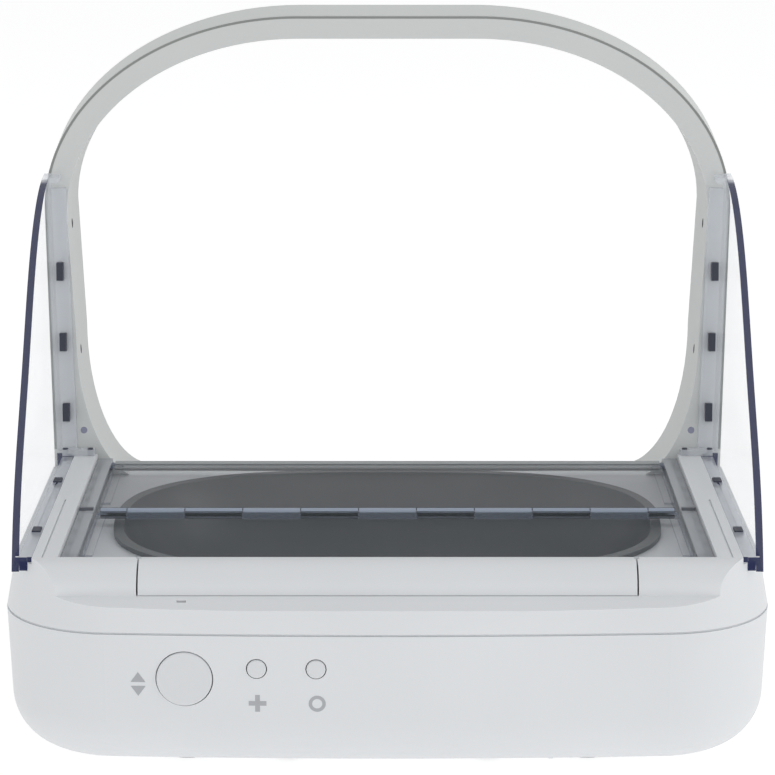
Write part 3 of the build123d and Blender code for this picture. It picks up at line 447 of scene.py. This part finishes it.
plusLook = {"key": "pair_button", "aside": 0.0002, "drop": 0.0107, "arm": 0.0026, "half": 0.0007}
arm, half = plusLook["arm"], plusLook["half"]
armCorners = np.array([[half, half], [half, arm], [-half, arm]])
quarterTurn = np.array([[0, 1], [-1, 0]])
corners = [armCorners @ np.linalg.matrix_power(quarterTurn, turn) for turn in range(4)]
loop = besideKey(plusLook["key"], plusLook["aside"], plusLook["drop"]) + np.concatenate(corners)
printMark("pairMark", loop, shrunk(loop, markLook["core"]), "housing")

ringLook = {"key": "function_button", "aside": 0.0003, "drop": 0.0107, "outer": 0.0025, "inner": 0.0015,
            "steps": 40}
turn = np.linspace(0, 2 * np.pi, ringLook["steps"], endpoint=False)
circle = np.stack([np.cos(turn), -np.sin(turn)], axis=1)
spot = besideKey(ringLook["key"], ringLook["aside"], ringLook["drop"])
printMark("functionMark", spot + circle * ringLook["outer"], spot + circle * ringLook["inner"], "housing")
print("marks made")


# painted shade of the arch's seam groove, drawn as a thin grey strip on the leaning plane of its near plate:
# sides that lean in toward the foot, quarter ellipses above the shoulders and a flat top between them
seamLook = {"near": -0.007, "deck": 0.0635, "lean": 6.5, "side": 0.1145, "foot": 0.1119,
            "footHeight": -0.0107, "low": 0.0012, "shoulder": 0.0825, "rise": 0.0635, "flat": 0.03,
            "inset": 0.0001, "width": 0.0008, "proud": 0.00004, "sunk": 0.00004, "steps": 48, "legSteps": 12}


def seamPath(inset):
    # right half of the outline from foot to top, then its mirror image back down
    look = seamLook
    heights = np.linspace(look["low"], look["shoulder"], look["legSteps"], endpoint=False)
    slope = (look["side"] - look["foot"]) / (look["shoulder"] - look["footHeight"])
    straight = np.stack([look["side"] - inset - (look["shoulder"] - heights) * slope, heights], axis=1)
    turn = np.linspace(0, np.pi / 2, look["steps"])
    wide, high = look["side"] - inset - look["flat"], look["rise"] - inset
    curve = np.stack([look["flat"] + wide * np.cos(turn), look["shoulder"] + high * np.sin(turn)], axis=1)
    half = np.concatenate([straight, curve])
    return np.concatenate([half, half[::-1] * [-1, 1]])


def seamRail(inset, lift):
    # the outline stood up from the deck along the lean, and lifted square to the near plate
    look = seamLook
    lean = math.radians(look["lean"])
    across, rise = seamPath(inset).T
    return np.stack([across, look["near"] + rise * math.sin(lean) - lift * math.cos(lean),
                     look["deck"] + rise * math.cos(lean) + lift * math.sin(lean)], axis=1)


outside, inside = seamLook["inset"], seamLook["inset"] + seamLook["width"]
proud, sunk = seamLook["proud"], -seamLook["sunk"]
rails = [seamRail(outside, sunk), seamRail(outside, proud), seamRail(inside, proud), seamRail(inside, sunk)]
count = len(rails[0])
starts = np.arange(4) * count
ends = starts[::-1] + count - 1
quads = railQuads(count, closed=False)[:, [0, 3, 2, 1]]    # turned over, so that the faces point outwards
faces = [starts.tolist(), ends.tolist()] + quads.tolist()
# the strip is painted shade where the seam groove lies
seamShadeStrip = addPiece("archSeamLine", np.concatenate(rails), faces, paints["seamGrey"])
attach(seamShadeStrip, "housing")
print("seam line made")


# floor: diffuse for the shadow, with a share of even glow so that it stays white behind the object
floorLook = {"half": 6.0, "colour": (0.86, 0.86, 0.86, 1.0), "roughness": 0.9, "shadowShare": 0.42,
             "bounce": 0.46, "glow": 1.34}
floorPaint = Paint("floorPaint", Base_Color=floorLook["colour"], Roughness=floorLook["roughness"])
glow = floorPaint.node("ShaderNodeEmission", None, {"Color": (1, 1, 1, 1), "Strength": floorLook["glow"]})
cameraRay = floorPaint.node("ShaderNodeLightPath", out="Is Camera Ray")
throughRay = floorPaint.node("ShaderNodeLightPath", out="Is Transmission Ray")
seen = cameraRay.math("MAXIMUM", throughRay)
glowShare = floorLook["bounce"] + seen * (1 - floorLook["shadowShare"] - floorLook["bounce"])
floorPaint.show(floorPaint.node("ShaderNodeMixShader", None, [glowShare, floorPaint.surface, glow]))
floorCorners = np.array([[-1, -1, 0], [1, -1, 0], [1, 1, 0], [-1, 1, 0]]) * floorLook["half"]
floor = addPiece("floor", floorCorners, [(0, 1, 2, 3)], floorPaint.material)

# sky: a soft light that fades toward the zenith, and plain white where the camera sees it
skyLook = {"colour": (0.98, 0.99, 1.0, 1.0), "level": 0.78, "zenith": 0.42, "fadeFrom": 0.1, "fadeTo": 0.9}
world = bpy.data.worlds.new("studio")
bpy.context.scene.world = world
sky = NodeTree(world, "ShaderNodeOutputWorld")
height = sky.axes(sky.node("ShaderNodeTexCoord", out="Generated"))[2]
strength = sky.node("ShaderNodeMapRange", None,
                    {"Value": height, "From Min": skyLook["fadeFrom"], "From Max": skyLook["fadeTo"],
                     "To Min": skyLook["level"], "To Max": skyLook["zenith"]})
air = sky.node("ShaderNodeBackground", None, [skyLook["colour"], strength])
white = sky.node("ShaderNodeBackground", None, [(1, 1, 1, 1)])
sky.show(sky.node("ShaderNodeMixShader", None,
                  [sky.node("ShaderNodeLightPath", out="Is Camera Ray"), air, white]))

lamps = {
    "topSoft": {"place": (0.0, 0.1, 1.6), "aim": (0, 0, 0.05), "size": 1.6, "power": 4.0},
    "leftSoft": {"place": (-1.5, -0.5, 0.9), "aim": (0, 0, 0.1), "size": 1.0, "power": 1.5},
    "rightSoft": {"place": (1.5, -0.4, 0.9), "aim": (0, 0, 0.1), "size": 1.0, "power": 6.0},
    "frontSoft": {"place": (0.0, -1.8, 0.35), "aim": (0, 0, 0.05), "size": 1.2, "power": 3.3},
}
for name, lamp in lamps.items():
    light = bpy.data.lights.new(name, "AREA")
    light.size = lamp["size"]
    light.energy = lamp["power"]
    holder = bpy.data.objects.new(name, light)
    holder.location = lamp["place"]
    holder.rotation_euler = (Vector(lamp["aim"]) - Vector(lamp["place"])).to_track_quat("-Z", "Y").to_euler()
    bpy.context.collection.objects.link(holder)

view = {"place": (0.0, -0.9879, 0.3088), "tilt": 12.8, "lens": 139.35, "sensor": 36.0}
camera = bpy.data.cameras.new("camera")
camera.lens = view["lens"]
camera.sensor_width = view["sensor"]
cameraHolder = bpy.data.objects.new("camera", camera)
cameraHolder.location = view["place"]
cameraHolder.rotation_euler = (math.radians(90 - view["tilt"]), 0, 0)
bpy.context.collection.objects.link(cameraHolder)
bpy.context.scene.camera = cameraHolder
bpy.context.scene.view_settings.view_transform = "Standard"
print("stage, lamps and camera placed")
